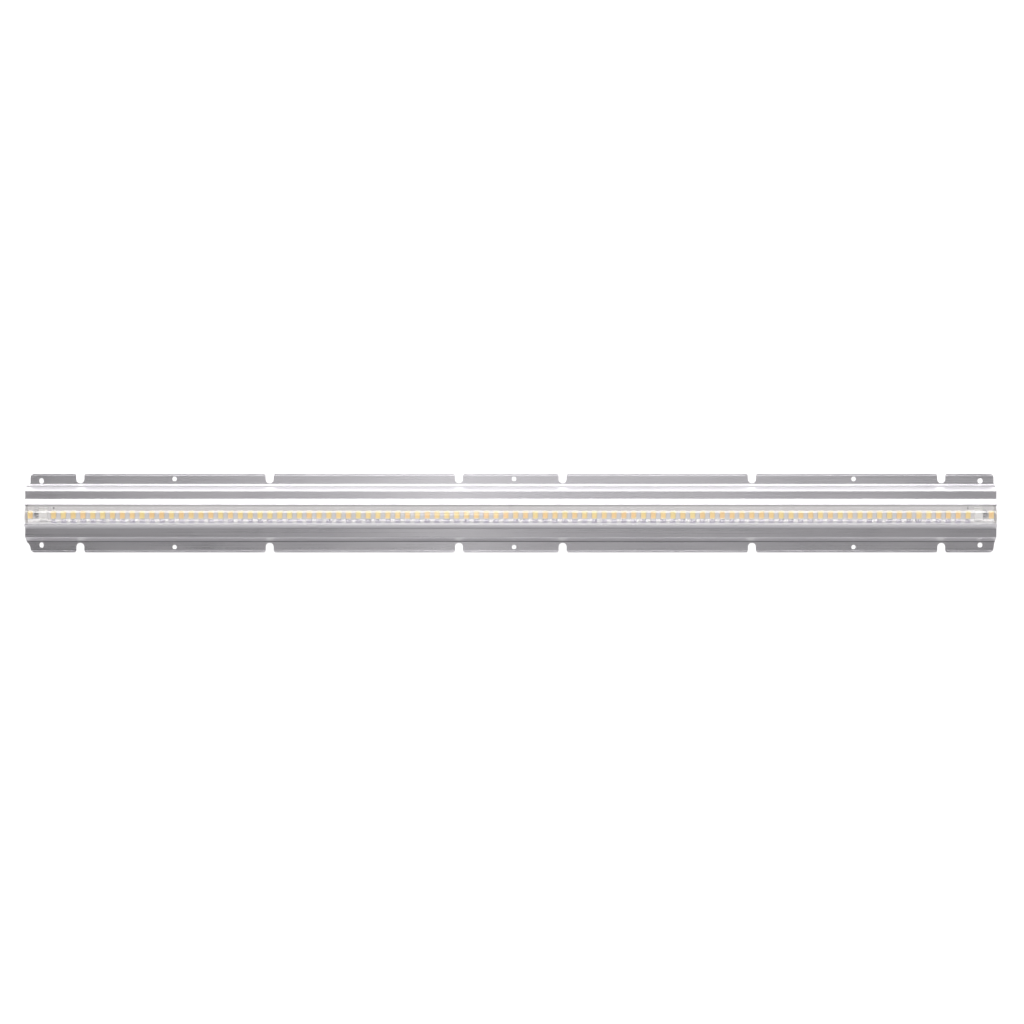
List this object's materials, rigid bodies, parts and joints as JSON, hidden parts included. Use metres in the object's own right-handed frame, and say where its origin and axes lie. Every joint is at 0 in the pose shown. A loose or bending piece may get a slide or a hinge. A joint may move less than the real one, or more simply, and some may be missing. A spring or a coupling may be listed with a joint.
{
  "type": "led grow light",
  "caption": "Linear LED grow-light bar: stepped aluminium heat-sink extrusion with notched flanges, a row of LEDs under a clear half-round lens, and rear feed connectors.",
  "frame": {"origin": "middle of the bar, on the plane of the flanges' rear faces", "axes": "+X along the bar towards the end with round holes, +Y across the bar, +Z out of the light-emitting face"},
  "size_m": [1.186, 0.0966, 0.0225],
  "materials": {
    "anodised_aluminium": "satin clear-anodised extrusion",
    "thermal_pad": "soft grey silicone pad",
    "board_white": "white solder mask on an aluminium-core board",
    "led_white": "white moulded package",
    "led_phosphor": "yellow phosphor gel, unlit",
    "resistor_black": "black chip",
    "tinned_copper": "tinned strap",
    "terminal_white": "white nylon",
    "lens_clear": "clear polished acrylic",
    "silicone_grey": "pale grey silicone",
    "silicone_clear": "clear cast silicone",
    "grommet_rubber": "light grey rubber",
    "core_white": "white insulation",
    "core_grey": "grey insulation",
    "cable_jacket": "black jacket",
    "clamp_steel": "zinc-plated steel strip",
    "screw_steel": "zinc-plated steel",
    "connector_shell": "black moulded polyurethane",
    "connector_insert": "dark contact carrier",
    "contact_gold": "gold-plated contact",
    "seal_rubber": "black sealing ring",
    "ring_nickel": "nickel-plated brass"
  },
  "bodies": {
    "bar": {"heat_sink": "anodised_aluminium", "thermal_pad_left": "thermal_pad", "thermal_pad_right": "thermal_pad", "led_board_left": "board_white", "led_board_right": "board_white", "led_housings_left": "led_white", "led_housings_right": "led_white", "led_phosphors_left": "led_phosphor", "led_phosphors_right": "led_phosphor", "smd_resistors": "resistor_black", "board_links": "tinned_copper", "wire_terminal_left": "terminal_white", "wire_terminal_right": "terminal_white", "lens_cover": "lens_clear", "lens_gasket_front": "silicone_grey", "lens_gasket_rear": "silicone_grey", "end_plug_left": "silicone_clear", "end_plug_right": "silicone_clear", "grommet_left": "grommet_rubber", "grommet_right": "grommet_rubber", "core_white_left": "core_white", "core_white_right": "core_white", "core_grey_left": "core_grey", "core_grey_right": "core_grey", "power_cable_left": "cable_jacket", "power_cable_right": "cable_jacket", "cable_clamp_left": "clamp_steel", "cable_clamp_right": "clamp_steel", "clamp_screws": "screw_steel", "plug_shell": "connector_shell", "plug_insert": "connector_insert", "plug_pins": "contact_gold", "plug_seal": "seal_rubber", "socket_shell": "connector_shell", "socket_insert": "connector_insert", "socket_contacts": "contact_gold"},
    "plug_ring": {"plug_coupling_screw": "ring_nickel"},
    "socket_ring": {"socket_coupling_nut": "ring_nickel"}
  },
  "joints": [
    {"name": "plug_ring_spin", "type": "hinge", "parent": "bar", "child": "plug_ring", "pos_m": [-0.4665, -0.0225, 0.0048], "axis": [1, 0, 0], "continuous": true},
    {"name": "socket_ring_spin", "type": "hinge", "parent": "bar", "child": "socket_ring", "pos_m": [0.4665, -0.0225, 0.0048], "axis": [-1, 0, 0], "continuous": true}
  ]
}
